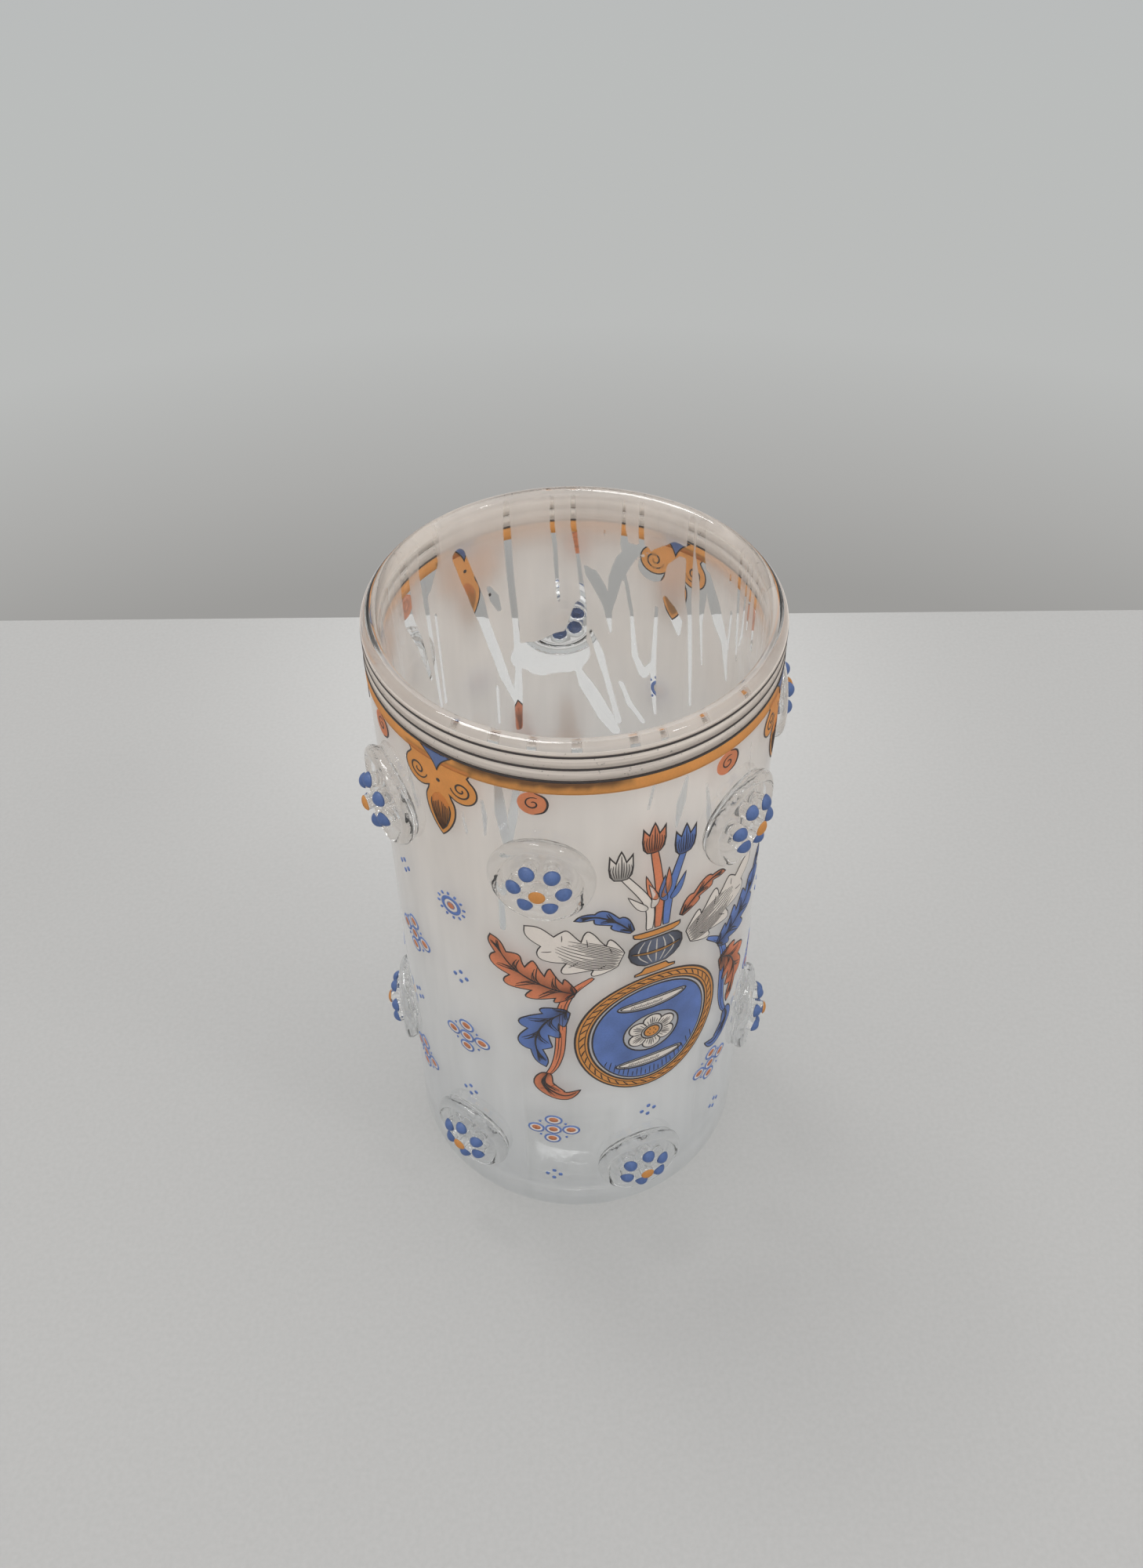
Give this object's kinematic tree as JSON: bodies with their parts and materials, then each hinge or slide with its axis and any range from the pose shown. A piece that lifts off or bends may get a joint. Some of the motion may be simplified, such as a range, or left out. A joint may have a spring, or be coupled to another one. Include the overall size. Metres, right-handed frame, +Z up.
{
  "type": "enamelled glass beaker vase",
  "caption": "Tall straight glass beaker vase with a milky streaked wall, applied glass prunts and painted enamel ornament.",
  "frame": {"origin": "centre of the foot on the resting plane", "axes": "+Z up along the vase's axis; -Y is the side that faces the viewer; +X is the viewer's right"},
  "size_m": [0.0893, 0.0893, 0.15],
  "materials": {
    "clear_glass": "clear, fire-polished",
    "milky_glass": "milky white, satin",
    "prunt_glass": "clear, fire-polished, with painted dots on the knobs",
    "white_enamel": "fired enamel paint, satin",
    "black_enamel": "fired enamel paint, satin",
    "ochre_enamel": "fired enamel paint, satin",
    "blue_enamel": "fired enamel paint, satin",
    "brick_enamel": "fired enamel paint, satin",
    "steel_enamel": "fired enamel paint, satin"
  },
  "bodies": {
    "root": {"vase_body": "clear_glass", "milky_lining": "milky_glass", "prunt_upper_1": "prunt_glass", "prunt_upper_2": "prunt_glass", "prunt_upper_3": "prunt_glass", "prunt_upper_4": "prunt_glass", "prunt_upper_5": "prunt_glass", "prunt_upper_6": "prunt_glass", "prunt_lower_1": "prunt_glass", "prunt_lower_2": "prunt_glass", "prunt_lower_3": "prunt_glass", "prunt_lower_4": "prunt_glass", "prunt_lower_5": "prunt_glass", "prunt_lower_6": "prunt_glass", "rim_line_upper": "black_enamel", "rim_white_upper": "white_enamel", "rim_line_middle": "black_enamel", "rim_white_lower": "white_enamel", "rim_line_lower": "black_enamel", "rim_ochre_ring": "ochre_enamel", "pendant_1": "ochre_enamel", "pendant_2": "ochre_enamel", "pendant_3": "ochre_enamel", "pendant_4": "ochre_enamel", "pendant_5": "ochre_enamel", "spandrel_1": "blue_enamel", "spandrel_2": "blue_enamel", "spandrel_3": "blue_enamel", "spandrel_4": "blue_enamel", "spandrel_5": "blue_enamel", "roundel_1": "brick_enamel", "roundel_2": "brick_enamel", "roundel_3": "brick_enamel", "roundel_4": "brick_enamel", "roundel_5": "brick_enamel", "roundel_6": "brick_enamel", "cartouche_frame": "ochre_enamel", "cartouche_field": "blue_enamel", "cartouche_bar_lower": "white_enamel", "cartouche_bar_upper": "white_enamel", "rosette": "white_enamel", "rosette_heart": "ochre_enamel", "urn_foot": "ochre_enamel", "urn_body": "steel_enamel", "urn_lip": "ochre_enamel", "bud_white": "white_enamel", "bud_brick": "brick_enamel", "bud_blue": "blue_enamel", "upper_leaf_left": "brick_enamel", "upper_leaf_right": "blue_enamel", "lower_leaf_left": "blue_enamel", "lower_leaf_right": "brick_enamel", "curl_left": "brick_enamel", "curl_right": "blue_enamel", "white_ground_left": "white_enamel", "white_ground_right": "white_enamel", "back_leaf_middle": "brick_enamel", "back_leaf_left": "ochre_enamel", "back_leaf_right": "ochre_enamel"}
  },
  "joints": []
}
